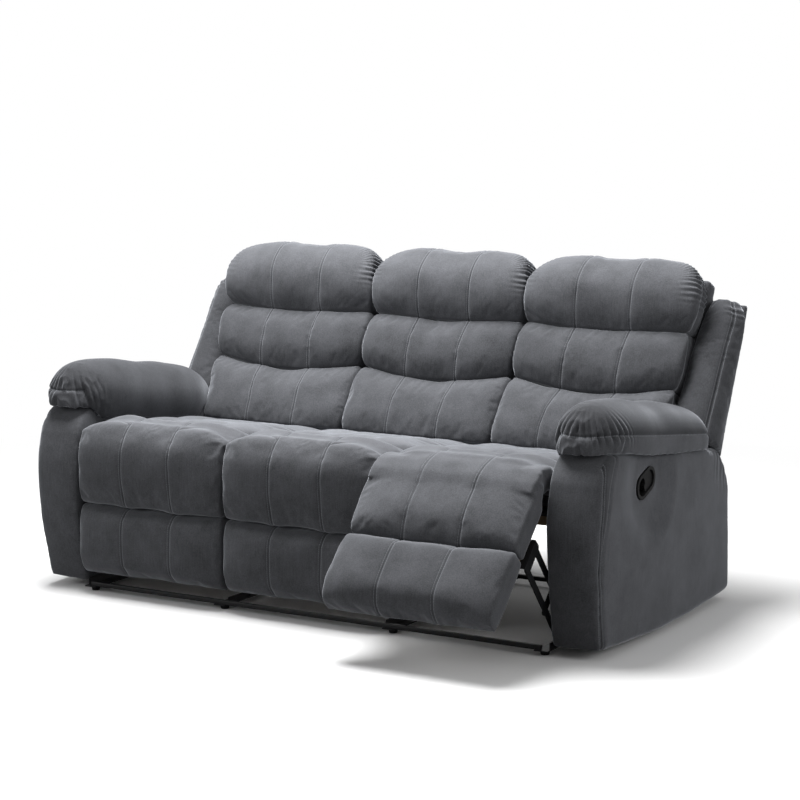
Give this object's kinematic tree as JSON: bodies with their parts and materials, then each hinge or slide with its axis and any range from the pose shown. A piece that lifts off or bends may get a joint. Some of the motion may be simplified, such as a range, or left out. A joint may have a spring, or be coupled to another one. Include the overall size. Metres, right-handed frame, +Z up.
{
  "type": "reclining sofa",
  "caption": "Wide upholstered sofa with channelled cushions, padded arms, reclining outer backs and fold-out outer footrests on a steel linkage.",
  "frame": {"origin": "on the floor under the middle of the width and of the depth at rest", "axes": "+X to the right as seen from in front, +Y towards the backs, +Z up"},
  "size_m": [2.0036, 1.425, 1.0432],
  "materials": {
    "upholstery": "brushed microfibre with a soft nap",
    "frame_wood": "raw plywood",
    "black_steel": "satin black paint",
    "black_plastic": "fine satin",
    "webbing": "woven elastic strap"
  },
  "bodies": {
    "frame": {"middle_lumbar_roll": "upholstery", "middle_back_roll": "upholstery", "middle_headrest": "upholstery", "middle_back_shell": "upholstery", "middle_back_posts": "black_steel", "middle_seat_cushion": "upholstery", "middle_seat_deck": "frame_wood", "middle_upper_pad": "upholstery", "middle_lower_pad": "upholstery", "middle_front_board": "frame_wood", "seat_webbing": "webbing", "front_bar": "black_steel", "rear_bar": "black_steel", "base_rails": "black_steel", "feet": "black_plastic", "left_seat_cushion": "upholstery", "left_seat_deck": "frame_wood", "left_side_plates": "black_steel", "left_arm": "upholstery", "left_arm_pad": "upholstery", "left_handle_bezel": "black_plastic", "right_seat_cushion": "upholstery", "right_seat_deck": "frame_wood", "right_side_plates": "black_steel", "right_arm": "upholstery", "right_arm_pad": "upholstery", "right_handle_bezel": "black_plastic"},
    "left_back": {"left_lumbar_roll": "upholstery", "left_back_roll": "upholstery", "left_headrest": "upholstery", "left_back_shell": "upholstery", "left_wing": "upholstery", "left_back_brackets": "black_steel"},
    "left_footrest": {"left_upper_pad": "upholstery", "left_lower_pad": "upholstery", "left_footrest_board": "frame_wood", "left_footrest_brackets": "black_steel"},
    "left_swing": {"left_swing_links": "black_steel"},
    "left_drive": {"left_drive_links": "black_steel", "left_drive_tube": "black_steel"},
    "left_upper_strut": {"left_upper_struts": "black_steel"},
    "left_lower_strut": {"left_lower_struts": "black_steel"},
    "left_lever": {"left_release_lever": "black_plastic"},
    "right_back": {"right_lumbar_roll": "upholstery", "right_back_roll": "upholstery", "right_headrest": "upholstery", "right_back_shell": "upholstery", "right_wing": "upholstery", "right_back_brackets": "black_steel"},
    "right_footrest": {"right_upper_pad": "upholstery", "right_lower_pad": "upholstery", "right_footrest_board": "frame_wood", "right_footrest_brackets": "black_steel"},
    "right_swing": {"right_swing_links": "black_steel"},
    "right_drive": {"right_drive_links": "black_steel", "right_drive_tube": "black_steel"},
    "right_upper_strut": {"right_upper_struts": "black_steel"},
    "right_lower_strut": {"right_lower_struts": "black_steel"},
    "right_lever": {"right_release_lever": "black_plastic"}
  },
  "joints": [
    {"name": "left_recline", "type": "hinge", "parent": "frame", "child": "left_back", "pos_m": [-0.545, 0.26937, 0.23], "axis": [-1, 0, 0], "range_deg": [0, 28]},
    {"name": "left_footrest_fold", "type": "hinge", "parent": "frame", "child": "left_footrest", "pos_m": [-0.545, -0.40063, 0.538], "axis": [-1, 0, 0], "range_deg": [0, 90]},
    {"name": "left_swing_turn", "type": "hinge", "parent": "frame", "child": "left_swing", "pos_m": [-0.545, -0.22863, 0.332], "axis": [-1, 0, 0], "range_deg": [0, 90]},
    {"name": "left_drive_turn", "type": "hinge", "parent": "frame", "child": "left_drive", "pos_m": [-0.545, -0.28023, 0.3938], "axis": [-1, 0, 0], "range_deg": [0, 90]},
    {"name": "left_upper_strut_turn", "type": "hinge", "parent": "left_swing", "child": "left_upper_strut", "pos_m": [-0.545, -0.10863, 0.152], "axis": [-1, 0, 0], "range_deg": [-90, 0]},
    {"name": "left_lower_strut_turn", "type": "hinge", "parent": "left_swing", "child": "left_lower_strut", "pos_m": [-0.545, -0.10863, 0.082], "axis": [-1, 0, 0], "range_deg": [-90, 0]},
    {"name": "left_release_pull", "type": "hinge", "parent": "frame", "child": "left_lever", "pos_m": [-0.969, -0.04592, 0.478], "axis": [0, 0.342, -0.9397], "range_deg": [0, 30], "stiffness_Nm_per_rad": 0.6, "springref_deg": -8.59},
    {"name": "right_recline", "type": "hinge", "parent": "frame", "child": "right_back", "pos_m": [0.545, 0.26937, 0.23], "axis": [-1, 0, 0], "range_deg": [0, 28]},
    {"name": "right_footrest_fold", "type": "hinge", "parent": "frame", "child": "right_footrest", "pos_m": [0.545, -0.40063, 0.538], "axis": [-1, 0, 0], "range_deg": [-43.5, 46.5]},
    {"name": "right_swing_turn", "type": "hinge", "parent": "frame", "child": "right_swing", "pos_m": [0.545, -0.22863, 0.332], "axis": [-1, 0, 0], "range_deg": [-43.5, 46.5]},
    {"name": "right_drive_turn", "type": "hinge", "parent": "frame", "child": "right_drive", "pos_m": [0.545, -0.28023, 0.3938], "axis": [-1, 0, 0], "range_deg": [-43.5, 46.5]},
    {"name": "right_upper_strut_turn", "type": "hinge", "parent": "right_swing", "child": "right_upper_strut", "pos_m": [0.545, -0.26549, 0.11883], "axis": [-1, 0, 0], "range_deg": [-46.5, 43.5]},
    {"name": "right_lower_strut_turn", "type": "hinge", "parent": "right_swing", "child": "right_lower_strut", "pos_m": [0.545, -0.31367, 0.06805], "axis": [-1, 0, 0], "range_deg": [-46.5, 43.5]},
    {"name": "right_release_pull", "type": "hinge", "parent": "frame", "child": "right_lever", "pos_m": [0.969, -0.04592, 0.478], "axis": [0, -0.342, 0.9397], "range_deg": [0, 30], "stiffness_Nm_per_rad": 0.6, "springref_deg": -8.59}
  ],
  "couplings": [
    {"joint": "left_swing_turn", "follows": "left_footrest_fold", "ratio": 1},
    {"joint": "left_drive_turn", "follows": "left_footrest_fold", "ratio": 1},
    {"joint": "left_upper_strut_turn", "follows": "left_footrest_fold", "ratio": -1},
    {"joint": "left_lower_strut_turn", "follows": "left_footrest_fold", "ratio": -1},
    {"joint": "right_swing_turn", "follows": "right_footrest_fold", "ratio": 1},
    {"joint": "right_drive_turn", "follows": "right_footrest_fold", "ratio": 1},
    {"joint": "right_upper_strut_turn", "follows": "right_footrest_fold", "ratio": -1},
    {"joint": "right_lower_strut_turn", "follows": "right_footrest_fold", "ratio": -1}
  ]
}
